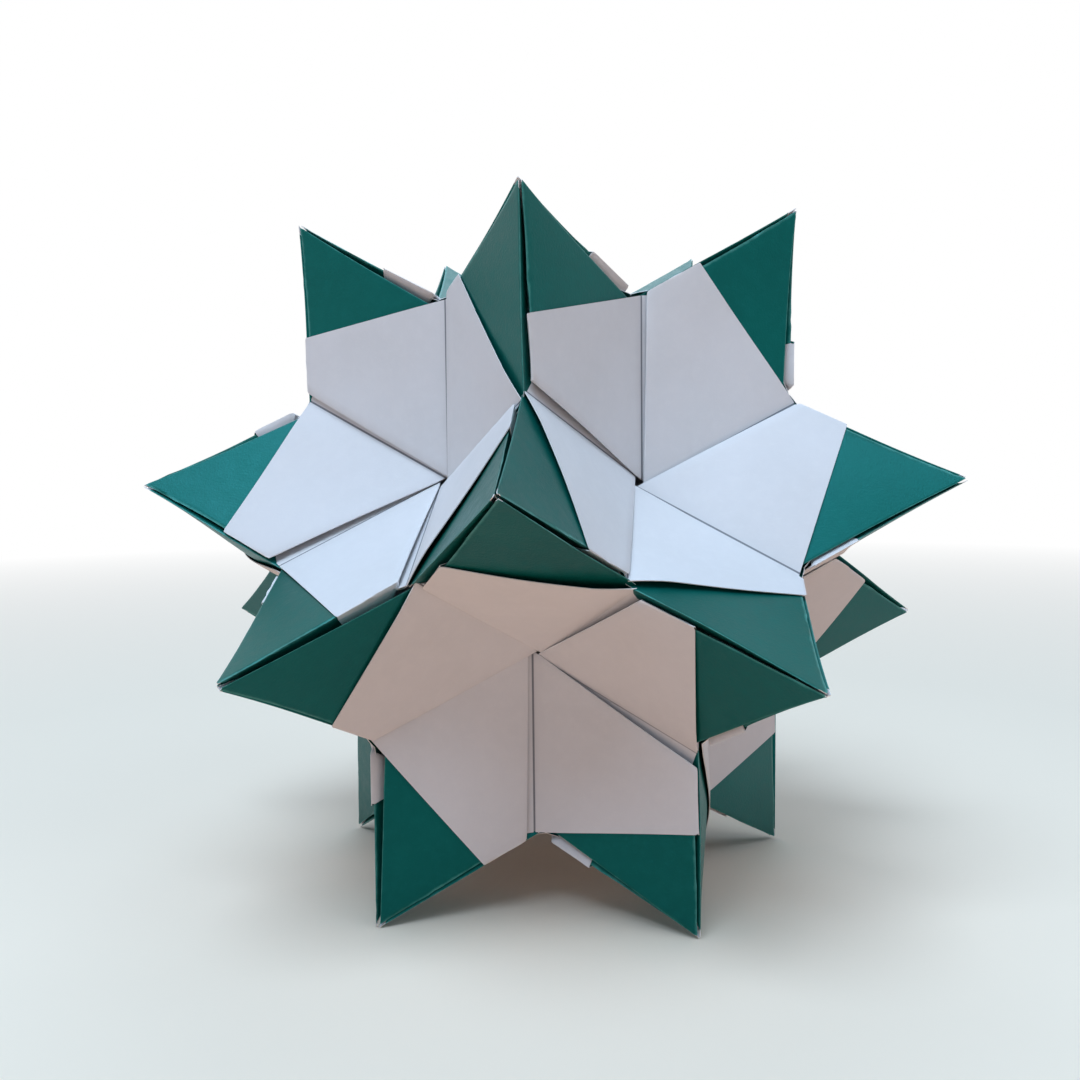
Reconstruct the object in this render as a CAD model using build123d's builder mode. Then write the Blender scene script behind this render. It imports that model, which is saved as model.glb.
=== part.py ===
from build123d import *
from math import acos, cos, pi, sin, sqrt
import os

# A modular paper ball folded from sixty square sheets, one for each face of a sixty-sided star solid.
# All sizes are in millimetres. The origin is the centre of the ball, +Z points to its top dimple,
# and a dimple of the lower row faces -Y.

# Driving dimensions
sheet_side = 75.0         # side of each square sheet before folding
paper = 0.15              # thickness of one layer of paper
fold_gap = 0.12           # air between the two layers of a folded sheet
lift = 0.30               # air between a free folded edge and the tab that passes under it
edge_setback = 1.8        # from a valley line to the free folded edge beside it
cut_share = 0.33          # share of the ridge, from the saddle, that the white corner covers
cut_clear = 1.4           # from the far saddle to the end of the white raw edge
fin_depth = 6.0           # how far a flank or flange runs in from its ridge
fin_gap = 0.16            # from the middle of a fin to each of the two sheets in it
slot_at_saddle = 1.3      # from the middle of a fin to the flange's crease, at the saddle end
slot_at_tip = 0.45        # the same at the tip end
flange_start = 1.2        # from the saddle to the start of the flange
tab_width = 5.0           # how far a tab runs in under the next sheet
tab_start = 2.6           # from the saddle to the start of the tab
tip_cut = 0.7             # from the sharp tip to the raw edge that crosses it
tip_clear = 1.0           # from a tip's own axis to the fins round it
fold_flats = 8            # flats that round a folded edge, counted over a full turn

# Sizes that follow
edge = sheet_side / 2
step = paper + fold_gap
white_level = step
green_level = 0.0
white_tab_level = -(paper + lift)
green_tab_level = white_tab_level - step
between = acos(1 / sqrt(5))
stars = 5


# The twelve dimples lie on the corners of an icosahedron: one on top, two rows of five and one below.
def ring_corner(turn, height):
    radius = edge * sin(between)
    return Vector(radius * cos(turn), radius * sin(turn), height)


ring_height = edge * cos(between)
turns = [2 * pi * number / stars for number in range(stars)]
dimples = [Vector(0, 0, edge)]
dimples += [ring_corner(turn - pi / 2 + pi / stars, ring_height) for turn in turns]
dimples += [ring_corner(turn - pi / 2, -ring_height) for turn in turns]
dimples += [Vector(0, 0, -edge)]

# One face, seen from the centre of the ball: its dimple and the two next dimples that span it.
dimple = Vector(edge, 0, 0)
first = Vector(edge * cos(between), edge * sin(between), 0)
third_y = edge * cos(between) * (1 - cos(between)) / sin(between)
third_x = edge * cos(between)
second = Vector(third_x, third_y, -sqrt(edge**2 - third_x**2 - third_y**2))
free_saddle = dimple + first
far_saddle = dimple + second
tip = dimple + first + second
centre = (dimple + tip) / 2
outward = second.cross(first).normalized()


# The one point that lies on three planes.
def meet(one, two, three):
    normals = [plane.z_dir for plane in (one, two, three)]
    heights = [plane.origin.dot(plane.z_dir) for plane in (one, two, three)]
    point = normals[1].cross(normals[2]) * heights[0]
    point += normals[2].cross(normals[0]) * heights[1]
    point += normals[0].cross(normals[1]) * heights[2]
    return point / normals[0].dot(normals[1].cross(normals[2]))


# The middle plane of a fin or valley: through the ball's centre and two corners, facing off the face.
def middle(one, two):
    normal = one.cross(two).normalized()
    if normal.dot(centre) > 0:
        normal = -normal
    return Plane(origin=(0, 0, 0), z_dir=normal)


# The same layer on the other side of a middle plane.
def mirrored(direction, plane):
    return direction - plane.z_dir * (2 * direction.dot(plane.z_dir))


# The plane where two layers of the same sheet meet at a crease.
def mitre(one, two):
    across = one.z_dir - two.z_dir
    reach = one.origin.dot(one.z_dir) - two.origin.dot(two.z_dir)
    return Plane(origin=across * (reach / across.dot(across)), z_dir=across.normalized())


# A straight cut through a layer, along a direction that lies in it.
def cut(point, direction, layer):
    return Plane(origin=point, z_dir=direction.cross(layer.z_dir).normalized())


# A direction in one layer, carried flat over a crease into the next layer.
def carried(direction, one, two):
    crease = one.z_dir.cross(two.z_dir).normalized()
    along = direction.dot(crease)
    across = direction.dot(one.z_dir.cross(crease))
    return crease * along + two.z_dir.cross(crease) * across


# Whether a point lies on the side that a plane faces.
def above(point, plane):
    return (point - plane.origin).dot(plane.z_dir) > 0


# Cuts the part in hand at each plane and keeps the side that holds the point.
def trim(inside, bounds):
    for bound in bounds:
        split(bisect_by=bound, keep=Keep.TOP if above(inside, bound) else Keep.BOTTOM)


# One flat stretch of paper: a thin slab kept on the inner side of each plane that bounds it.
def panel(layer, inside, bounds):
    with BuildPart() as piece:
        with BuildSketch(layer):
            Rectangle(6 * edge, 6 * edge)
        extrude(amount=paper / 2, both=True)
        trim(inside, bounds)
    return piece.part


# The fold that joins a layer to the one below it, on the other side of their seam, rounded with a few flats.
def round_fold(layer, corner, direction, inside, seam, bounds):
    axis = corner - layer.z_dir * (step / 2)
    with BuildPart() as piece:
        with BuildSketch(Plane(origin=axis, x_dir=layer.z_dir, z_dir=direction)):
            RegularPolygon(paper + fold_gap / 2, fold_flats, major_radius=False, rotation=180 / fold_flats)
            RegularPolygon(fold_gap / 2, fold_flats, major_radius=False, rotation=180 / fold_flats, mode=Mode.SUBTRACT)
        extrude(amount=3 * edge, both=True)
        split(bisect_by=seam, keep=Keep.BOTTOM if above(inside, seam) else Keep.TOP)
        trim(inside, bounds)
    return piece.part


# The lower end of a fin, parallel to its ridge.
def fin_floor(saddle, ridge, fin):
    down = ridge.cross(fin.z_dir).normalized()
    if down.dot(saddle) > 0:
        down = -down
    return Plane(origin=saddle + down * fin_depth, z_dir=down)


# The end of a fin near a tip, parallel to the tip's axis.
def short_of_axis(ridge):
    axis = tip.normalized()
    towards = (ridge - axis * ridge.dot(axis)).normalized()
    return Plane(origin=towards * -tip_clear, z_dir=towards)


# Middle planes on the four sides of the face
tab_valley = middle(dimple, second)
flank_ridge = middle(free_saddle, tip)
flange_ridge = middle(far_saddle, tip)

# Layers of the front
white_front = Plane(origin=dimple + outward * white_level, z_dir=outward)
green_front = Plane(origin=dimple + outward * green_level, z_dir=outward)

# Layers of the tab, parallel to the next face
next_outward = mirrored(outward, tab_valley)
white_tab = Plane(origin=dimple + next_outward * white_tab_level, z_dir=next_outward)
green_tab = Plane(origin=dimple + next_outward * green_tab_level, z_dir=next_outward)

# Layers of the flank, beside the middle of the fin
white_flank = flank_ridge.offset(-fin_gap)
green_flank = flank_ridge.offset(-fin_gap - step)

# Where flank and flange stop: at their depth, and short of the tip's own axis
flank_floor = fin_floor(free_saddle, second, flank_ridge)
flange_floor = fin_floor(far_saddle, first, flange_ridge)
flank_tip = short_of_axis(second)
flange_tip = short_of_axis(first)
flange_end = Plane(origin=far_saddle + first.normalized() * flange_start, z_dir=first)

# The flange leaves the front at the slot's width and closes on the fin at its deepest corner.
slot_start = meet(green_front, flange_ridge.offset(-slot_at_saddle), Plane(origin=far_saddle, z_dir=first))
slot_end = meet(green_front, flange_ridge.offset(-slot_at_tip), Plane(origin=tip, z_dir=first))
slot_foot = meet(flange_floor, flange_tip, flange_ridge.offset(-fin_gap))
flange = Plane(origin=slot_start, z_dir=(slot_end - slot_start).cross(slot_foot - slot_start))
if flange.z_dir.dot(flange_ridge.z_dir) < 0:
    flange = -flange

# Creases
flank_crease = mitre(white_front, white_flank)
tab_crease = mitre(white_front, white_tab)
flange_crease = mitre(green_front, flange)

# The free folded edge, set back from its valley, with its round beyond the seam. It runs on over both
# creases, so the flank and the tab end in a stretch of it.
across = first.cross(outward).normalized()
seam_setback = edge_setback + paper + fold_gap / 2
front_seam = Plane(origin=dimple + across * seam_setback, z_dir=across)
flank_corner = meet(white_front, white_flank, front_seam)
tab_corner = meet(white_front, white_tab, front_seam)
flank_fold = carried(first, white_front, white_flank)
tab_fold = carried(first, white_front, white_tab)
flank_seam = cut(flank_corner, flank_fold, white_flank)
tab_seam = cut(tab_corner, tab_fold, white_tab)

# The raw edge of the white corner, from the ridge to the far saddle and on over both creases
raw_start = free_saddle + second * cut_share
raw_end = far_saddle - second.normalized() * cut_clear
raw = (raw_end - raw_start).normalized()
front_raw = cut(raw_start, raw, white_front)
flank_raw = cut(meet(white_front, white_flank, front_raw), carried(raw, white_front, white_flank), white_flank)
tab_raw = cut(meet(white_front, white_tab, front_raw), carried(raw, white_front, white_tab), white_tab)

# The sheet is square, so the raw edge that crosses the tip is square to the one that was folded over.
fold_line = first.normalized()
unfolded_raw = fold_line * (2 * raw.dot(fold_line)) - raw
tip_raw = cut(tip - (tip - dimple).normalized() * tip_cut, outward.cross(unfolded_raw), green_front)

# Where the tab stops
tab_side = second.cross(next_outward).normalized()
if tab_side.dot(tab_valley.z_dir) < 0:
    tab_side = -tab_side
tab_floor = Plane(origin=dimple + tab_side * tab_width, z_dir=tab_side)
tab_end = Plane(origin=far_saddle - second.normalized() * tab_start, z_dir=second)

# A point inside each stretch of paper, to tell which side of a cut is kept
in_green_flank = (free_saddle + tip) / 2 + flank_floor.z_dir * (fin_depth / 2)
in_white_flank = (flank_corner + raw_start) / 2 + flank_floor.z_dir * (fin_depth / 2)
in_flange = (far_saddle + tip) / 2 + flange_floor.z_dir * (fin_depth / 2)
in_tab = (dimple + far_saddle) / 2 + tab_side * (tab_width / 2)

with BuildPart() as folded_sheet:
    add(panel(white_front, centre, [front_seam, flank_crease, front_raw, tab_crease]))
    add(panel(green_front, centre, [front_seam, flank_crease, tip_raw, flange_crease, tab_crease]))
    add(panel(white_flank, in_white_flank, [flank_crease, flank_seam, flank_raw, flank_floor]))
    add(panel(green_flank, in_green_flank, [flank_crease, flank_seam, flank_tip, flank_floor]))
    add(panel(flange, in_flange, [flange_crease, flange_end, flange_tip, flange_floor]))
    add(panel(white_tab, in_tab, [tab_crease, tab_seam, tab_raw, tab_floor]))
    add(panel(green_tab, in_tab, [tab_crease, tab_seam, tab_end, tab_floor]))
    add(round_fold(white_front, tab_corner, first, centre, front_seam, [flank_crease, tab_crease]))
    add(round_fold(white_flank, flank_corner, flank_fold, in_white_flank, flank_seam, [flank_crease, flank_floor]))
    add(round_fold(white_tab, tab_corner, tab_fold, in_tab, tab_seam, [tab_crease, tab_floor]))

# Sixty copies, five round each dimple: the next dimples are taken in turn, with the sheet's own hand.
own_place = Plane(origin=(0, 0, 0), x_dir=dimple, z_dir=dimple.cross(first))
os.makedirs("parts", exist_ok=True)
count = 0
for star in dimples:
    around = [other for other in dimples if 0 < star.get_angle(other) < 90]
    for one in around:
        count += 1
        place = Plane(origin=(0, 0, 0), x_dir=star, z_dir=star.cross(one))
        copy = folded_sheet.part.moved(place.location * own_place.location.inverse())
        copy.label = f"folded_sheet_{count:02d}"
        export_step(copy, f"parts/{copy.label}.step")

print(count, "sheets of", round(folded_sheet.part.volume, 1), "cubic millimetres")
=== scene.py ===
import math
import random
from types import SimpleNamespace

import bmesh
import bpy
from mathutils import Matrix, Vector


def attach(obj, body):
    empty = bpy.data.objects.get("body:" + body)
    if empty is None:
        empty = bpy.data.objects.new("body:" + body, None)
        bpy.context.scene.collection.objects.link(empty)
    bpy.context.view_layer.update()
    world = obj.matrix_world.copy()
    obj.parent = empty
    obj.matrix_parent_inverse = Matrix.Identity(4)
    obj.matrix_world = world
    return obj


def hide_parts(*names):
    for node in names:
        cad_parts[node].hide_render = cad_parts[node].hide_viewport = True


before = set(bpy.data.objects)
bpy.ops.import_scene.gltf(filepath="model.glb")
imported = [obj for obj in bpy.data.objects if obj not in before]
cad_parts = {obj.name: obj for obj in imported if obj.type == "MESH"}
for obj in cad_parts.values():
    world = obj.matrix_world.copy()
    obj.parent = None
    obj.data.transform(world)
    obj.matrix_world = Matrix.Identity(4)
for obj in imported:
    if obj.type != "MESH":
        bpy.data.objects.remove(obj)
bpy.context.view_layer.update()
print("frame loaded:", len(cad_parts), "folded sheets")

mm = 0.001
random.seed(11)

# One folded sheet, in millimetres. It is worked out flat, as a stack of a green and a white layer, in a
# frame with the dimple corner at the origin, the free folded edge along X and the face below it in Y.
sheetSize = {
    "side": 75.0,                # the square sheet before folding
    "paper": 0.15,               # thickness
    "layerStep": 0.27,           # from the green layer up to the white one
    "edgeRound": 0.21,           # how far the rounded free edge stands out past its layers
    "roundSteps": 4,             # facets round the free folded edge
    "rawStop": 0.5,              # from the far saddle to the end of the white raw edge
    "finGap": 0.16,              # from the middle of a fin to each sheet in it
    "finDepth": 6.0,             # how far a flank runs in from its ridge
    "flankTrim": (0.6, -0.24),   # how much shorter its green and its white layer are
    "tipClear": 0.5,             # from the tip's own axis to the fins round it
    "flangeStart": 0.3,          # from the far saddle to the start of the flange
    "flangeDepth": (3.3, 4.9),   # at the saddle and at the tip
    "flangeDrop": 1.1,           # how far in from the tip the flange's end is set out
    "tabDrop": 0.45,             # how far the white tab runs below the next face
    "tabWidth": 5.0,             # how far a tab runs under the next sheet
    "tabTrim": (1.0, 1.08),      # how much shorter its green and its white layer are
    "tabStop": 1.6,              # from the far saddle to the end of the green tab
    "tabClear": 0.35,            # from the far saddle to where the next sheet's flank trims the tab
    "cornerClear": 0.1,          # from the tab's trimmed corner to that flank
    "tipReach": 1.4,             # how far pinching draws a tip out
    "tipSpan": 22.0,             # how far from the tip that is felt
}
gridSize = {"cell": 1.9, "columns": 36, "rows": 23, "start": -7.0}

# How far each bend and mark spreads (mm), and the power with which it fades
spread = {
    "liftPeak": 1.4, "liftFade": 4,          # lift of the free edge
    "rawReach": 9.0, "rawFade": 1.5,         # lift of the white raw edge
    "tabReach": 7.0, "tabFade": 0.7,         # where the tab holds that edge down
    "sinkReach": 17.0, "sinkFade": 1.3,      # sink of the green layer by the far saddle
    "flangeReach": 3.0,                      # lean of the flange
    "wearReach": 0.6, "valleyShadeReach": 0.33,   # worn ridges and the line of painted shade along the valley
}
sideOffsets = (0.0, 0.25, -0.25, 0.6, -0.6)  # cuts on and beside each crease, which keep its fold crisp
cutTolerance = 0.0001
lineTolerance = 0.0005
layerTolerance = 0.001
sliver = {"merge": 0.04, "shortest": 0.02}

# The angle between two neighbouring dimples, and half the angle inside a ridge
between = math.acos(1 / math.sqrt(5))
halfRidge = math.radians(36)
up = Vector((0, 0, 1))

edge = sheetSize["side"] / 2
step = sheetSize["layerStep"]
lowest = -edge * math.sin(between)

# The face: its two directions, along the free edge and along the next valley, and its corners
first = Vector((1, 0, 0))
second = Vector((math.cos(between), -math.sin(between), 0))
freeSaddle = first * edge
farSaddle = second * edge
tip = freeSaddle + farSaddle

# Which way is inwards from each crease, and how far in the two layers of an even sheet bend
flankIn = Vector((second.y, -second.x, 0))
tabIn = -flankIn
flangeIn = Vector((0, 1, 0))
flankGreen = (sheetSize["finGap"] + step) / math.sin(halfRidge)
flankWhite = sheetSize["finGap"] / math.sin(halfRidge) - step / math.tan(halfRidge)
tabGreen = -((sheetSize["tabDrop"] + step) / math.cos(halfRidge)) / math.tan(halfRidge)
tabWhite = -(step + sheetSize["tabDrop"] / math.cos(halfRidge)) / math.tan(halfRidge)

# The angle between a ridge and the tip's own axis
ridgeShare = (2 / math.sqrt(5) + 1) / math.sqrt(3 + 6 / math.sqrt(5))
ridgeTurn = math.acos(second.dot(second * ridgeShare + flankIn * -math.sqrt(1 - ridgeShare * ridgeShare)))
ridgeSine, ridgeCosine = math.sin(ridgeTurn), math.cos(ridgeTurn)

# Small differences that folding by hand gives each sheet (mm, shares and degrees)
handRanges = {
    "setbackDimple": (0.5, 1.0),    # from the valley to the free edge, at the dimple
    "setbackSaddle": (0.9, 3.2),    # the same at the saddle
    "cutShare": (0.29, 0.41),       # share of the ridge that is white
    "rawLift": (0.2, 0.6),          # lift of the white raw edge
    "greenSink": (0.1, 0.5),        # sink of the green layer by the far saddle
    "flankSaddle": (0.4, 1.8),      # from the ridge to the flank's crease, at the saddle
    "tabDip": (0.0, 20.0),          # degrees by which the tab dives under the next sheet
    "edgeLift": (0.0, 0.5),         # lift of the free edge
    "flankTip": (-0.5, -0.1),       # from the ridge to the flank's crease, at the tip
    "slotSaddle": (0.0, 0.7),       # from the ridge to the flange's crease, at the saddle
    "slotTip": (0.0, 0.15),         # the same at the tip
    "bow": (-0.56, 0.44),           # rise of the middle of the face
    "tipCut": (0.3, 0.9),           # from the sharp tip to the raw edge that crosses it
}
evenHand = {
    "flankLean": 0.9,               # share of the slot over which the flank leans
    "flankRoll": 0.0,               # how far the flank's crease rolls over
    "flangeLean": 0.0,              # how far the flange leans over
    "valleyShadeStrength": 1.0,              # strength of the line of painted shade along the valley
}

# Sheets are named by their dimple and the neighbour that their free edge points to. These are the
# first eight differences as the photo shows them round its three front dimples.
seenFacts = list(handRanges)[:8]
seenSheets = {
    (5, 1): (0.50, 1.10, 0.29, 0.70, 0.30, 2.20, 16, 0.10),
    (5, 6): (0.90, 2.80, 0.37, 0.30, 0.30, 3.00, 24, 0.35),
    (5, 10): (0.90, 3.40, 0.42, 0.30, 0.20, 0.90, 8, 0.60),
    (5, 4): (1.70, 2.50, 0.38, 0.30, 0.20, 0.90, 4, 0.40),
    (5, 0): (2.00, 3.00, 0.25, 0.70, 0.40, 0.90, 0, 0.05),
    (1, 5): (0.90, 3.20, 0.38, 0.50, 0.20, 2.40, 6, 0.60),
    (1, 0): (1.30, 2.10, 0.39, 0.30, 0.20, 0.90, 3, 0.45),
    (1, 2): (0.90, 1.70, 0.33, 0.30, 0.20, 0.90, 16, 0.20),
    (1, 7): (2.00, 3.20, 0.24, 0.90, 0.80, 1.00, 0, 0.05),
    (1, 6): (0.90, 1.30, 0.34, 0.80, 0.30, 2.00, 20, 0.05),
    (6, 5): (0.50, 0.90, 0.27, 1.10, 0.70, 2.20, 24, 0.05),
    (6, 1): (0.35, 3.00, 0.34, 0.50, 0.30, 2.40, 18, 0.55),
    (6, 7): (0.40, 3.30, 0.44, 0.30, 0.20, 1.20, 8, 0.60),
    (6, 11): (2.10, 2.80, 0.34, 0.40, 0.20, 0.90, 0, 0.15),
    (6, 10): (0.50, 0.90, 0.30, 0.50, 0.20, 1.00, 0, 0.10),
}
seenSlotSaddle = 0.1

# Ridges where the photo shows the far sheet's flank standing proud of the near sheet's flange, and
# flanks that draw the ball's outline. Elsewhere a flank leans over its slot and shows its own face.
seenGroups = [
    ({"slotSaddle": 1.3, "slotTip": 0.25},
     [(1, 5), (5, 4), (5, 10), (1, 0), (1, 2), (6, 11), (6, 7), (6, 1)]),
    ({"flankSaddle": 0.1, "flankTip": -0.3},
     [(0, 1), (0, 5), (4, 5), (2, 1), (7, 1), (10, 6), (11, 6), (10, 5), (7, 6)]),
    ({"flankSaddle": 0.6, "flankTip": -0.25},
     [(5, 4), (5, 0), (1, 0), (1, 2), (1, 7), (6, 11), (6, 7)]),
]
seenSlots = {
    (5, 0): {"flangeLean": 0.9, "tipCut": 0.1},
    (5, 1): {"flangeLean": 0.8},
    (1, 7): {"flangeLean": 1.0},
    (1, 2): {"slotSaddle": 0.7},
    (1, 5): {"flankLean": 0.0, "tipCut": 0.1},
    (6, 1): {"flankLean": 0.0, "valleyShadeStrength": 0.5, "slotSaddle": 0.9},
    (6, 11): {"slotSaddle": 1.6, "slotTip": 0.5},
    (7, 11): {"bow": 1.8},
    (10, 4): {"bow": 2.4},
    (6, 5): {"flankLean": 0.0, "tipCut": 0.8, "valleyShadeStrength": 0.25},
    (5, 6): {"tipCut": 1.5, "flankTip": 0.1, "flankRoll": 2.2, "valleyShadeStrength": 0.8},
    (1, 6): {"flankRoll": 0.8},
    (6, 10): {"tipCut": 1.5, "slotSaddle": 0.7, "slotTip": 0.35},
    (10, 5): {"tipCut": 1.5},
}


def handwork(pair):
    # drawn for every sheet, in one order, and then put right where the photo shows the sheet
    made = {name: random.uniform(low, high) for name, (low, high) in handRanges.items()}
    made.update(evenHand)
    if pair in seenSheets:
        made.update(zip(seenFacts, seenSheets[pair]))
        made["slotSaddle"] = seenSlotSaddle
    for facts, members in seenGroups:
        if pair in members:
            made.update(facts)
    made.update(seenSlots.get(pair, {}))
    return made


def clamp(value):
    return min(1.0, max(0.0, value))


def beyond(point, cut):
    return (point - cut[0]).dot(cut[1])


def onGreen(spot):
    return spot.z < layerTolerance


def onWhite(spot):
    return spot.z > step - layerTolerance


def slanted(base, along, inward, atGreen, atWhite):
    # a cut through both layers: its distance inwards is given at the green and at the white layer
    low = base + inward * atGreen
    high = base + inward * atWhite + up * step
    normal = along.cross(high - low).normalized()
    if normal.dot(inward) > 0:
        normal = -normal
    return low, normal


def facesWhere(bm, chosen):
    return [face for face in bm.faces if chosen(face.calc_center_median())]


def bisect(bm, cut, faces, offset=0.0):
    # a dictionary keeps the parts in one order, so that each run gives the same mesh
    parts = dict.fromkeys(faces)
    for face in faces:
        parts.update(dict.fromkeys(face.edges))
        parts.update(dict.fromkeys(face.verts))
    bmesh.ops.bisect_plane(bm, geom=list(parts), dist=cutTolerance,
                           plane_co=cut[0] + cut[1] * offset, plane_no=cut[1])


def cutAway(bm, cut, chosen):
    # cuts the chosen faces along a plane and drops what lies beyond it
    bisect(bm, cut, facesWhere(bm, chosen))
    lost = facesWhere(bm, lambda spot: chosen(spot) and beyond(spot, cut) > lineTolerance)
    bmesh.ops.delete(bm, geom=lost, context="FACES")


def inOrder(bm):
    # spin leaves the faces in an order that changes between runs, so they are made again in one order
    bm.verts.index_update()
    rings = []
    for face in bm.faces:
        ring = [vert.index for vert in face.verts]
        start = ring.index(min(ring))
        rings.append(ring[start:] + ring[:start])
    ordered = bmesh.new()
    corners = [ordered.verts.new(vert.co) for vert in bm.verts]
    for ring in sorted(rings):
        ordered.faces.new([corners[index] for index in ring])
    bm.free()
    return ordered


def flatStack(hand):
    # a green layer, a rounded free edge and a white layer laid back over the green one
    cell, columns, rows = gridSize["cell"], gridSize["columns"], gridSize["rows"]
    bm = bmesh.new()
    bmesh.ops.create_grid(bm, x_segments=columns, y_segments=rows, size=0.5)
    shear = Matrix(((columns * cell, -rows * cell / math.tan(between), 0, 0),
                    (0, rows * cell, 0, 0), (0, 0, 1, 0), (0, 0, 0, 1)))
    bmesh.ops.transform(bm, matrix=shear, verts=bm.verts)
    top = max(vert.co.y for vert in bm.verts)
    left = min(vert.co.x for vert in bm.verts if vert.co.y > top - 0.01)
    bmesh.ops.translate(bm, vec=(gridSize["start"] - left, -top, 0), verts=bm.verts)

    seam = [one for one in bm.edges
            if one.is_boundary and all(vert.co.y > -layerTolerance for vert in one.verts)]
    made = bmesh.ops.spin(bm, geom=seam, cent=(0, 0, step / 2), axis=(1, 0, 0), angle=math.pi,
                          steps=sheetSize["roundSteps"])
    last = [item for item in made["geom_last"] if isinstance(item, bmesh.types.BMEdge)]
    for row in range(rows):
        made = bmesh.ops.extrude_edge_only(bm, edges=last)
        fresh = [item for item in made["geom"] if isinstance(item, bmesh.types.BMVert)]
        bmesh.ops.translate(bm, vec=second * (cell / math.sin(between)), verts=fresh)
        last = [item for item in made["geom"] if isinstance(item, bmesh.types.BMEdge)]
    bm = inOrder(bm)

    # the free edge isn't quite parallel to its valley
    atDimple = hand["setbackDimple"] + sheetSize["edgeRound"]
    atSaddle = hand["setbackSaddle"] + sheetSize["edgeRound"]
    turn = math.atan2(atSaddle - atDimple, edge)
    bmesh.ops.rotate(bm, verts=bm.verts, cent=(0, 0, 0), matrix=Matrix.Rotation(-turn, 3, "Z"))
    bmesh.ops.translate(bm, verts=bm.verts, vec=(0, -atDimple, 0))
    return bm


def layOut(hand):
    # where this sheet's creases and its white raw edge run on the flat stack
    plan = SimpleNamespace()
    plan.flankFoot = freeSaddle + flankIn * hand["flankSaddle"]
    plan.flankWay = (tip + flankIn * hand["flankTip"] - plan.flankFoot).normalized()
    plan.flankOver = Vector((plan.flankWay.y, -plan.flankWay.x, 0))
    plan.flank = slanted(plan.flankFoot, plan.flankWay, plan.flankOver, flankGreen, flankWhite)
    plan.tab = slanted(Vector(), second, tabIn, tabGreen, tabWhite)
    plan.slotStart = farSaddle + flangeIn * (hand["slotSaddle"] / math.sin(halfRidge))
    slotEnd = tip + flangeIn * (hand["slotTip"] / math.sin(halfRidge))
    plan.slotWay = (slotEnd - plan.slotStart).normalized()
    plan.slotIn = Vector((-plan.slotWay.y, plan.slotWay.x, 0))
    plan.flange = (plan.slotStart, -plan.slotIn)

    plan.rawStart = freeSaddle + second * (edge * hand["cutShare"])
    plan.rawEnd = farSaddle - second * sheetSize["rawStop"]
    plan.rawWay = (plan.rawEnd - plan.rawStart).normalized()
    plan.raw = (plan.rawStart, Vector((-plan.rawWay.y, plan.rawWay.x, 0)))
    if beyond(Vector((edge / 2, -edge / 4, 0)), plan.raw) > 0:
        plan.raw = (plan.raw[0], -plan.raw[1])

    plan.onFlank = lambda spot: beyond(spot, plan.flank) > 0
    plan.onTab = lambda spot: beyond(spot, plan.tab) > 0
    plan.onFlange = lambda spot: onGreen(spot) and beyond(spot, plan.flange) > 0
    return plan


def scoreCreases(bm, plan):
    for crease in (plan.flank, plan.tab):
        for offset in sideOffsets:
            bisect(bm, crease, bm.faces[:], offset)
    for offset in sideOffsets:
        bisect(bm, plan.flange, facesWhere(bm, onGreen), offset)
    cutAway(bm, plan.raw, onWhite)
    # the flange has no paper where it would run into the flank or the tab
    lost = facesWhere(bm, lambda spot: plan.onFlange(spot) and (plan.onFlank(spot) or plan.onTab(spot)))
    bmesh.ops.delete(bm, geom=lost, context="FACES")


def trimFlank(bm, plan, hand):
    size = sheetSize
    floor = slanted(plan.flankFoot, plan.flankWay, plan.flankOver,
                    flankGreen - size["finDepth"] + size["flankTrim"][0],
                    flankWhite - size["finDepth"] + size["flankTrim"][1])
    cutAway(bm, floor, plan.onFlank)
    drop = (flankGreen + hand["flankTip"]) * (1 + math.cos(halfRidge))
    foot = tip - second * ((size["tipClear"] + drop * ridgeCosine) / ridgeSine)
    cutAway(bm, (foot, second * ridgeSine - flankIn * ridgeCosine), plan.onFlank)


def trimTab(bm, plan, nextHand):
    # the flank of the sheet that covers the tab says where the tab ends
    size = sheetSize
    floor = slanted(Vector(), second, tabIn, tabGreen - size["tabWidth"] + size["tabTrim"][0],
                    tabWhite - size["tabWidth"] + size["tabTrim"][1])
    cutAway(bm, floor, plan.onTab)
    cutAway(bm, (farSaddle - second * size["tabStop"], second),
            lambda spot: plan.onTab(spot) and onGreen(spot))
    nextRidge = second * math.cos(between) - tabIn * math.sin(between)
    nextIn = -second * math.sin(between) - tabIn * math.cos(between)
    corner = nextRidge * (nextHand["setbackSaddle"] / math.sin(between))
    corner += nextIn * (flankGreen + nextHand["flankSaddle"] + size["cornerClear"] - size["tabClear"])
    corner.normalize()
    end = Vector((corner.y, -corner.x, 0))
    if end.dot(second) < 0:
        end = -end
    cutAway(bm, (farSaddle + nextIn * size["tabClear"], end), plan.onTab)


def trimFlange(bm, plan):
    size = sheetSize
    atSaddle, atTip = size["flangeDepth"]
    tipFoot = tip + Vector((0, -atTip, 0))
    way = (tipFoot - (farSaddle + Vector((0, -atSaddle, 0)))).normalized()
    cutAway(bm, (tipFoot, Vector((way.y, -way.x, 0))), plan.onFlange)
    cutAway(bm, (farSaddle + first * size["flangeStart"], -first), plan.onFlange)
    foot = tip - first * ((size["tipClear"] + size["flangeDrop"] * ridgeCosine) / ridgeSine)
    cutAway(bm, (foot, first * ridgeSine - flangeIn * ridgeCosine), plan.onFlange)


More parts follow.
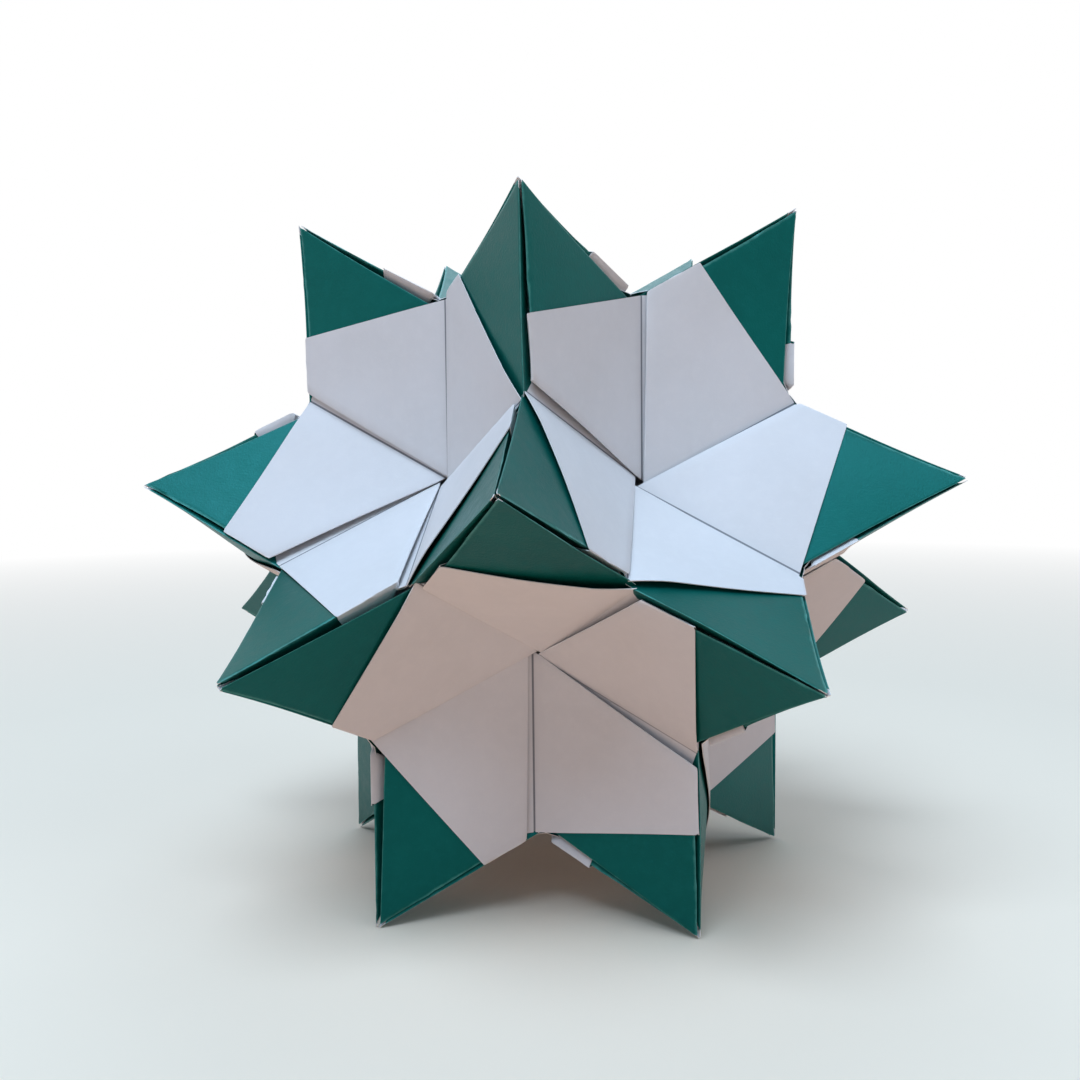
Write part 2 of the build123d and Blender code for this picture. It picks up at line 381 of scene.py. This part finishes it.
def trimTip(bm, plan, hand):
    # the green layer ends at the square's own raw edge, which crosses the tip
    unfolded = Vector((plan.rawWay.x, -plan.rawWay.y, 0))
    across = Vector((-unfolded.y, unfolded.x, 0))
    normal = Vector((across.y, -across.x, 0))
    if normal.dot(tip) < 0:
        normal = -normal
    cutAway(bm, (tip - tip.normalized() * hand["tipCut"], normal),
            lambda spot: onGreen(spot) and not plan.onFlank(spot) and not plan.onFlange(spot))
    # cuts that fell beside a grid line leave slivers, which go before the paper gets its thickness
    bmesh.ops.remove_doubles(bm, verts=bm.verts, dist=sliver["merge"])
    bmesh.ops.dissolve_degenerate(bm, edges=bm.edges, dist=sliver["shortest"])


def frontRise(spot, plan, hand, onFront):
    # bow of the front, lift of its free edge and of the white raw edge
    across = clamp(spot.y / lowest)
    along = clamp((spot.x - across * edge * math.cos(between)) / edge)
    rise = hand["bow"] * math.sin(math.pi * along) * math.sin(math.pi * across)
    rise += (hand["edgeLift"] * math.sin(math.pi * along ** spread["liftPeak"])
             * (1 - across) ** spread["liftFade"])
    if onFront and onWhite(spot):
        gap = max(0.0, -beyond(spot, plan.raw))
        ramp = clamp((spot - plan.rawStart).dot(plan.rawWay) / (plan.rawEnd - plan.rawStart).length)
        held = clamp(-beyond(spot, plan.tab) / spread["tabReach"]) ** spread["tabFade"]
        fade = math.exp(-(gap / spread["rawReach"]) ** spread["rawFade"])
        rise += hand["rawLift"] * math.sin(math.pi * 0.5 * ramp) * held * fade
    return rise


def bowFront(bm, plan, hand):
    # keeps each flat place for the folds, marks the worn creases and the line of painted shade along the
    # valley, and lifts what isn't quite flat
    for name in ("level", "wear", "valleyShadeMark"):
        bm.verts.layers.float.new(name)
    plan.flat = bm.verts.layers.float_vector.new("flatPlace")
    plan.level, wear, valleyShadeMark = (bm.verts.layers.float[name] for name in ("level", "wear", "valleyShadeMark"))
    plan.flankVerts, plan.tabVerts, plan.flangeVerts, plan.creaseVerts = [], [], [], []
    for vert in bm.verts:
        spot = vert.co.copy()
        vert[plan.level] = spot.z
        vert[plan.flat] = spot
        pastFlank = beyond(spot, plan.flank)
        pastTab = beyond(spot, plan.tab)
        pastFlange = beyond(spot, plan.flange) if onGreen(spot) else -edge
        fromRidge = min(abs(pastFlank), abs(pastFlange))
        vert[wear] = max(0.0, 1.0 - fromRidge / spread["wearReach"])
        # the valley mark says where a line of painted shade runs along the tab's crease
        vert[valleyShadeMark] = hand["valleyShadeStrength"] * max(0.0, 1.0 - abs(pastTab) / spread["valleyShadeReach"])
        if layerTolerance < spot.z < step - layerTolerance:
            vert[wear] = 1.0
        if min(fromRidge, abs(pastTab)) < lineTolerance:
            plan.creaseVerts.append(vert)
        for past, group in ((pastFlank, plan.flankVerts), (pastTab, plan.tabVerts),
                            (pastFlange, plan.flangeVerts)):
            if past > lineTolerance:
                group.append(vert)
        onFront = pastFlank < lineTolerance and pastTab < lineTolerance
        vert.co.z += frontRise(spot, plan, hand, onFront)


def foldUnder(bm, verts, level, base, inward, atGreen, atWhite, angle, target):
    # turns the stretch beyond a crease, each layer about its own line of the crease
    axis = (-inward).cross(target)
    heights = {}
    for vert in verts:
        heights.setdefault(round(vert[level], 4), []).append(vert)
    for height, group in heights.items():
        share = height / step
        point = base + inward * (atGreen + (atWhite - atGreen) * share) + up * height
        bmesh.ops.rotate(bm, verts=group, cent=point, matrix=Matrix.Rotation(angle, 3, axis))


def foldFins(bm, plan, hand):
    # flank and flange go in, the tab goes under the next sheet
    foldUnder(bm, plan.flankVerts, plan.level, plan.flankFoot, plan.flankOver, flankGreen, flankWhite,
              math.pi - halfRidge, -up)
    dive = halfRidge - math.radians(hand["tabDip"])
    foldUnder(bm, plan.tabVerts, plan.level, Vector(), tabIn, tabGreen, tabWhite, dive, up)
    inwards = Vector((0, math.cos(halfRidge), -math.sin(halfRidge)))
    off = Vector((0, math.sin(halfRidge), math.cos(halfRidge)))
    reach = (sheetSize["tipClear"] + sheetSize["finDepth"] * ridgeCosine) / ridgeSine
    foot = tip - first * reach + inwards * sheetSize["finDepth"] + off * sheetSize["finGap"]
    inFlange = foot - plan.slotStart
    inFlange = (inFlange - plan.slotWay * inFlange.dot(plan.slotWay)).normalized()
    foldUnder(bm, plan.flangeVerts, plan.level, plan.slotStart, plan.slotIn, 0.0, 0.0,
              (-plan.slotIn).angle(inFlange), -up)

    # the green layer sinks, and flank and flange lean over the slot between them, most by the saddle
    towards = -plan.flankOver * math.sin(halfRidge) - up * math.cos(halfRidge)
    wholeLean = hand["flankLean"] * hand["flankSaddle"] * math.sin(halfRidge)
    for vert in bm.verts:
        spot = vert[plan.flat]
        green = vert[plan.level] < layerTolerance
        if green:
            far = (spot - farSaddle).length
            vert.co.z -= hand["greenSink"] * max(0.0, 1 - far / spread["sinkReach"]) ** spread["sinkFade"]
        down = max(0.0, beyond(spot, plan.flank))
        share = math.sqrt(max(0.0, 1 - (spot - freeSaddle).dot(second) / edge))
        vert.co += towards * (wholeLean * share * down / sheetSize["finDepth"])
        vert.co += towards * (hand["flankRoll"] * share * (1 - math.exp(-down)))
        if green and beyond(spot, plan.tab) <= 0:
            down = max(0.0, beyond(spot, plan.flange))
            share = max(0.0, 1 - (spot - farSaddle).dot(first) / edge)
            vert.co -= off * (hand["flangeLean"] * share * down / spread["flangeReach"])
    bmesh.ops.smooth_vert(bm, verts=plan.creaseVerts, factor=0.6,
                          use_axis_x=True, use_axis_y=True, use_axis_z=True)


def foldSheet(hand, nextHand):
    # nextHand is the hand of the sheet that this one's tab goes under
    bm = flatStack(hand)
    plan = layOut(hand)
    scoreCreases(bm, plan)
    trimFlank(bm, plan, hand)
    trimTab(bm, plan, nextHand)
    trimFlange(bm, plan)
    trimTip(bm, plan, hand)
    bowFront(bm, plan, hand)
    foldFins(bm, plan, hand)

    # green side outwards on the green layer
    bm.normal_update()
    facing = sum(face.normal.z for face in bm.faces if face.calc_center_median().z > -1.0
                 and all(vert[plan.level] < layerTolerance for vert in face.verts))
    if facing < 0:
        bmesh.ops.reverse_faces(bm, faces=bm.faces)
    return bm


# Materials: both sides of the sheet and its raw edge are one paper, in three colours
grainScale = {"cloudy": 55, "mottled": 420, "grain": 2600, "fibre": 700}
fibreStretch = ((1.0, 5.0, 2.0), (5.0, 1.0, 3.0))
wearSpan = (0.95, 1.35)         # ridge marks, with the mottle, between which the wear fades in
lineSpan = (0.20, 0.55)         # valley marks between which the painted shade line fades in
bumpHeight = 0.04 * mm
# in each look the line colour, with its share, paints a grey line of shade along the valley crease
greenLook = {
    "colour": (0.0012, 0.084, 0.070), "shade": (0.0016, 0.074, 0.062), "fleck": (0.005, 0.118, 0.104),
    "mottle": 0.30, "fibre": 0.42,
    "worn": (0.12, 0.40, 0.36), "wearShare": 0.75,
    "line": (0.003, 0.06, 0.05), "lineShare": 0.3,
    "roughness": 0.38, "gloss": 0.55, "glossTint": (0.11, 0.95, 1.0), "sheen": 0.0, "bump": 0.90,
}
whiteLook = {
    "colour": (0.755, 0.765, 0.790), "shade": (0.725, 0.735, 0.755), "fleck": (0.80, 0.81, 0.825),
    "mottle": 0.35, "fibre": 0.30,
    "worn": (0.86, 0.87, 0.88), "wearShare": 0.6,
    "line": (0.16, 0.17, 0.20), "lineShare": 0.9,
    "roughness": 0.68, "gloss": 0.25, "glossTint": (1.0, 1.0, 1.0), "sheen": 0.03, "bump": 0.35,
}
# the raw edge is the paper's white core, set brighter than the white face so that it also paints the
# highlight where the thin edge catches the light
edgeLook = {
    "colour": (0.86, 0.87, 0.88), "shade": (0.80, 0.82, 0.82), "fleck": (0.88, 0.88, 0.88),
    "mottle": 0.4, "fibre": 0.5,
    "worn": (0.86, 0.87, 0.87), "wearShare": 0.5,
    "line": (0.5, 0.5, 0.5), "lineShare": 0.2,
    "roughness": 0.80, "gloss": 0.25, "glossTint": (1.0, 1.0, 1.0), "sheen": 0.0, "bump": 0.5,
}


def noise(tree, coords, scale, detail, roughness, stretch=None):
    made = tree.nodes.new("ShaderNodeTexNoise")
    made.inputs["Scale"].default_value = scale
    made.inputs["Detail"].default_value = detail
    made.inputs["Roughness"].default_value = roughness
    source = coords
    if stretch:
        mapping = tree.nodes.new("ShaderNodeMapping")
        mapping.inputs["Scale"].default_value = stretch
        tree.links.new(coords, mapping.inputs["Vector"])
        source = mapping.outputs["Vector"]
    tree.links.new(source, made.inputs["Vector"])
    return made.outputs["Fac"]


def attribute(tree, name):
    made = tree.nodes.new("ShaderNodeAttribute")
    made.attribute_name = name
    return made.outputs["Fac"]


def mapRange(tree, value, low, high, toLow, toHigh):
    made = tree.nodes.new("ShaderNodeMapRange")
    made.inputs["From Min"].default_value = low
    made.inputs["From Max"].default_value = high
    made.inputs["To Min"].default_value = toLow
    made.inputs["To Max"].default_value = toHigh
    tree.links.new(value, made.inputs["Value"])
    return made.outputs["Result"]


def compute(tree, operation, one, two):
    made = tree.nodes.new("ShaderNodeMath")
    made.operation = operation
    tree.links.new(one, made.inputs[0])
    if isinstance(two, float):
        made.inputs[1].default_value = two
    else:
        tree.links.new(two, made.inputs[1])
    return made.outputs["Value"]


def mixColour(tree, share, one, two):
    # the mix node keeps its two colours in sockets 6 and 7 and gives the result in socket 2
    made = tree.nodes.new("ShaderNodeMix")
    made.data_type = "RGBA"
    tree.links.new(share, made.inputs["Factor"])
    for number, value in ((6, one), (7, two)):
        if isinstance(value, tuple):
            made.inputs[number].default_value = (*value, 1)
        else:
            tree.links.new(value, made.inputs[number])
    return made.outputs[2]


def backgroundRays(tree):
    # camera, glossy and transmission rays see the pale background
    path = tree.nodes.new("ShaderNodeLightPath")
    rays = compute(tree, "ADD", path.outputs["Is Camera Ray"], path.outputs["Is Glossy Ray"])
    rays = compute(tree, "ADD", rays, path.outputs["Is Transmission Ray"])
    return mapRange(tree, rays, 0.0, 1.0, 0.0, 1.0)


def paper(name, look):
    made = bpy.data.materials.new(name)
    made.use_nodes = True
    tree = made.node_tree
    tree.nodes.clear()
    out = tree.nodes.new("ShaderNodeOutputMaterial")
    shader = tree.nodes.new("ShaderNodeBsdfPrincipled")
    tree.links.new(shader.outputs["BSDF"], out.inputs["Surface"])
    coords = tree.nodes.new("ShaderNodeTexCoord").outputs["Object"]

    cloudy = noise(tree, coords, grainScale["cloudy"], 4, 0.55)
    mottled = noise(tree, coords, grainScale["mottled"], 5, 0.6)
    grain = noise(tree, coords, grainScale["grain"], 3, 0.6)
    fibreOne, fibreTwo = (noise(tree, coords, grainScale["fibre"], 2, 0.5, stretch)
                          for stretch in fibreStretch)

    # the colour varies softly over the sheet and in fine fibres
    tone = mixColour(tree, mapRange(tree, cloudy, 0.35, 0.65, 0.0, 1.0), look["colour"], look["shade"])
    tone = mixColour(tree, mapRange(tree, mottled, 0.45, 0.75, 0.0, look["mottle"]), tone, look["fleck"])
    tone = mixColour(tree, mapRange(tree, fibreOne, 0.60, 0.80, 0.0, look["fibre"]), tone, look["fleck"])
    # the ridges are worn pale, broken up by the mottle, and a grey line of painted shade runs along the
    # valley
    rubbed = compute(tree, "ADD", attribute(tree, "wear"), compute(tree, "MULTIPLY", mottled, 0.5))
    rubbed = mapRange(tree, rubbed, *wearSpan, 0.0, look["wearShare"])
    tone = mixColour(tree, rubbed, tone, look["worn"])
    line = mapRange(tree, attribute(tree, "valleyShadeMark"), *lineSpan, 0.0, look["lineShare"])
    tone = mixColour(tree, line, tone, look["line"])
    tree.links.new(tone, shader.inputs["Base Color"])

    rough = mapRange(tree, mottled, 0.3, 0.7, look["roughness"] - 0.05, look["roughness"] + 0.06)
    tree.links.new(rough, shader.inputs["Roughness"])
    shader.inputs["IOR"].default_value = 1.46
    shader.inputs["Specular IOR Level"].default_value = look["gloss"]
    shader.inputs["Specular Tint"].default_value = (*look["glossTint"], 1)
    shader.inputs["Sheen Weight"].default_value = look["sheen"]
    shader.inputs["Sheen Roughness"].default_value = 0.5

    fibres = compute(tree, "ADD", compute(tree, "MULTIPLY", fibreOne, 0.5),
                     compute(tree, "MULTIPLY", fibreTwo, 0.5))
    height = compute(tree, "ADD", fibres, compute(tree, "MULTIPLY", grain, 0.8))
    bump = tree.nodes.new("ShaderNodeBump")
    bump.inputs["Strength"].default_value = look["bump"]
    bump.inputs["Distance"].default_value = bumpHeight
    tree.links.new(height, bump.inputs["Height"])
    tree.links.new(bump.outputs["Normal"], shader.inputs["Normal"])
    return made


finishes = {"greenPaper": greenLook, "whitePaper": whiteLook, "rawPaperEdge": edgeLook}
paperSides = [paper(name, look) for name, look in finishes.items()]
print("paper finishes made")


# The twelve dimples lie on the corners of an icosahedron: one on top, two rows of five and one below
def ringCorner(turn, height):
    radius = edge * math.sin(between)
    return Vector((radius * math.cos(turn), radius * math.sin(turn), height))


stars = 5
ringHeight = edge * math.cos(between)
turns = [2 * math.pi * number / stars for number in range(stars)]
dimples = [Vector((0, 0, edge))]
dimples += [ringCorner(turn - math.pi / 2 + math.pi / stars, ringHeight) for turn in turns]
dimples += [ringCorner(turn - math.pi / 2, -ringHeight) for turn in turns]
dimples += [Vector((0, 0, -edge))]
lowestDimple = len(dimples) - 1


def neighbours(one, other):
    return one != other and dimples[one].angle(dimples[other]) < math.pi / 2


def nextAround(star, one):
    # the neighbour that comes after this one, clockwise round the dimple as seen from outside
    for other in range(len(dimples)):
        if neighbours(star, other) and neighbours(one, other):
            if dimples[star].dot(dimples[one].cross(dimples[other])) < 0:
                return other


def placeOf(star, one):
    # from the flat stack of one face to its place on the ball
    third = math.cos(between) * (1 - math.cos(between)) / math.sin(between)
    ownFirst = Vector((math.cos(between), math.sin(between), 0))
    ownSecond = Vector((math.cos(between), third, -math.sqrt(1 - math.cos(between) ** 2 - third ** 2)))
    outward = ownSecond.cross(ownFirst).normalized()
    sideways = outward.cross(ownFirst)
    stack = Matrix.Translation((edge, 0, 0)) @ Matrix((ownFirst, sideways, outward)).transposed().to_4x4()
    ahead = star.normalized()
    top = star.cross(one).normalized()
    turned = Matrix((ahead, top.cross(ahead), top)).transposed().to_4x4()
    return Matrix.Scale(mm, 4) @ turned @ stack


def drawOut(bm, corners):
    # pinching draws the tips out a little, all but the five that the ball stands on
    if lowestDimple in corners:
        return
    point = sum((dimples[corner] for corner in corners), Vector())
    for vert in bm.verts:
        share = max(0.0, 1 - (vert.co / mm - point).length / sheetSize["tipSpan"])
        vert.co += point.normalized() * (sheetSize["tipReach"] * mm * share ** 2)


def finishSheet(bm, name):
    flatMesh = bpy.data.meshes.new(name + "Flat")
    bm.to_mesh(flatMesh)
    bm.free()
    for side in paperSides:
        flatMesh.materials.append(side)
    sheet = bpy.data.objects.new(name, flatMesh)
    bpy.context.scene.collection.objects.link(sheet)
    thick = sheet.modifiers.new("paper", "SOLIDIFY")
    thick.thickness = sheetSize["paper"] * mm
    thick.offset = 0
    thick.use_even_offset = False
    thick.material_offset = 1
    thick.material_offset_rim = 2
    return sheet


# Every hand is drawn before the first sheet is folded, because a tab needs the next sheet's hand
pairs = [(star, one) for star in range(len(dimples)) for one in range(len(dimples))
         if neighbours(star, one)]
hands = {pair: handwork(pair) for pair in pairs}
sheets = []
for number, (star, one) in enumerate(pairs, start=1):
    two = nextAround(star, one)
    bm = foldSheet(hands[star, one], hands[star, two])
    bmesh.ops.transform(bm, matrix=placeOf(dimples[star], dimples[one]), verts=bm.verts)
    drawOut(bm, (star, one, two))
    sheets.append(finishSheet(bm, f"foldedPaper{number:02d}"))
print("sheets folded:", len(sheets))

# Thickness is made real, and edges sharper than a soft bend are kept crisp
softBend = math.radians(38)
bpy.context.view_layer.update()
depsgraph = bpy.context.evaluated_depsgraph_get()
solid = [bpy.data.meshes.new_from_object(sheet.evaluated_get(depsgraph)) for sheet in sheets]
for number, (sheet, mesh) in enumerate(zip(sheets, solid), start=1):
    sheet.modifiers.clear()
    sheet.data = mesh
    mesh.name = sheet.name
    mesh.shade_smooth()
    mesh.set_sharp_from_angle(angle=softBend)
    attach(sheet, "root")
    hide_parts(f"folded_sheet_{number:02d}")
print("triangles:", sum(len(face.vertices) - 2 for mesh in solid for face in mesh.polygons))


# Floor: it bounces a warm light and looks pale to the camera, and it fades into the white background
floorLook = {
    "radius": 3.0, "height": -0.0709, "roughness": 0.9,
    "colour": (0.95, 0.85, 0.71), "bounce": (0.92, 0.55, 0.37),
    "fadeFrom": 0.25, "fadeTo": 0.9,
}
bm = bmesh.new()
bmesh.ops.create_circle(bm, cap_ends=True, segments=96, radius=floorLook["radius"])
bmesh.ops.translate(bm, vec=(0, 0, floorLook["height"]), verts=bm.verts)
floorMesh = bpy.data.meshes.new("plainFloor")
bm.to_mesh(floorMesh)
bm.free()
plainFloor = bpy.data.objects.new("plainFloor", floorMesh)
bpy.context.scene.collection.objects.link(plainFloor)

floorPaint = bpy.data.materials.new("plainFloorPaint")
floorPaint.use_nodes = True
tree = floorPaint.node_tree
shader = tree.nodes["Principled BSDF"]
shader.inputs["Roughness"].default_value = floorLook["roughness"]
pale = backgroundRays(tree)
floorTone = mixColour(tree, pale, floorLook["bounce"], floorLook["colour"])
tree.links.new(floorTone, shader.inputs["Base Color"])
glow = tree.nodes.new("ShaderNodeEmission")
glow.inputs["Color"].default_value = (1, 1, 1, 1)
length = tree.nodes.new("ShaderNodeVectorMath")
length.operation = "LENGTH"
tree.links.new(tree.nodes.new("ShaderNodeTexCoord").outputs["Object"], length.inputs[0])
fade = mapRange(tree, length.outputs["Value"], floorLook["fadeFrom"], floorLook["fadeTo"], 0.0, 1.0)
blend = tree.nodes.new("ShaderNodeMixShader")
tree.links.new(compute(tree, "MULTIPLY", fade, pale), blend.inputs["Fac"])
tree.links.new(shader.outputs["BSDF"], blend.inputs[1])
tree.links.new(glow.outputs["Emission"], blend.inputs[2])
tree.links.new(blend.outputs["Shader"], tree.nodes["Material Output"].inputs["Surface"])
floorMesh.materials.append(floorPaint)

# Light: a cool soft room and three soft lamps. Each lamp has its place, size, power and colour.
roomLight = {"colour": (0.62, 0.79, 1.0, 1), "strength": 0.33}
lamps = {
    "skyLamp": ((-0.14, -0.44, 1.0), 0.8, 10.4, (0.67, 0.82, 1.0)),
    "backLamp": ((0.0, 0.75, 0.85), 0.7, 2.6, (0.67, 0.82, 1.0)),
    "sideLamp": ((0.75, -0.35, 0.85), 0.6, 1.6, (0.71, 0.85, 1.0)),
}


def background(tree, colour, strength):
    made = tree.nodes.new("ShaderNodeBackground")
    made.inputs["Color"].default_value = colour
    made.inputs["Strength"].default_value = strength
    return made.outputs["Background"]


world = bpy.data.worlds.new("softRoom")
bpy.context.scene.world = world
world.use_nodes = True
tree = world.node_tree
tree.nodes.clear()
worldOut = tree.nodes.new("ShaderNodeOutputWorld")
pick = tree.nodes.new("ShaderNodeMixShader")
tree.links.new(backgroundRays(tree), pick.inputs["Fac"])
tree.links.new(background(tree, roomLight["colour"], roomLight["strength"]), pick.inputs[1])
tree.links.new(background(tree, (1, 1, 1, 1), 1.0), pick.inputs[2])
tree.links.new(pick.outputs["Shader"], worldOut.inputs["Surface"])

for name, (place, size, power, colour) in lamps.items():
    lamp = bpy.data.lights.new(name, "AREA")
    lamp.shape = "DISK"
    lamp.size = size
    lamp.energy = power
    lamp.color = colour
    lampObject = bpy.data.objects.new(name, lamp)
    lampObject.location = place
    lampObject.rotation_euler = (-Vector(place)).to_track_quat("-Z", "Y").to_euler()
    bpy.context.scene.collection.objects.link(lampObject)

# Camera: its place and directions were fitted to the ball's corners in the photo
cameraLook = {
    "place": (0.02577, -0.26245, 0.02448), "lens": 38.75, "sensor": 36,
    "forward": (-0.10894, 0.99069, -0.08154),
    "right": (0.99405, 0.10838, -0.01125),
    "downward": (-0.00230, -0.08228, -0.99661),
}
camera = bpy.data.objects.new("photoCamera", bpy.data.cameras.new("photoCamera"))
camera.data.sensor_width = cameraLook["sensor"]
camera.data.lens = cameraLook["lens"]
camera.data.clip_start = 0.01
right, downward, forward = (Vector(cameraLook[name]) for name in ("right", "downward", "forward"))
turned = Matrix((right, -downward, -forward)).transposed().to_4x4()
camera.matrix_world = Matrix.Translation(cameraLook["place"]) @ turned
bpy.context.scene.collection.objects.link(camera)
bpy.context.scene.camera = camera
bpy.context.scene.view_settings.view_transform = "Standard"
print("floor, light and camera set")
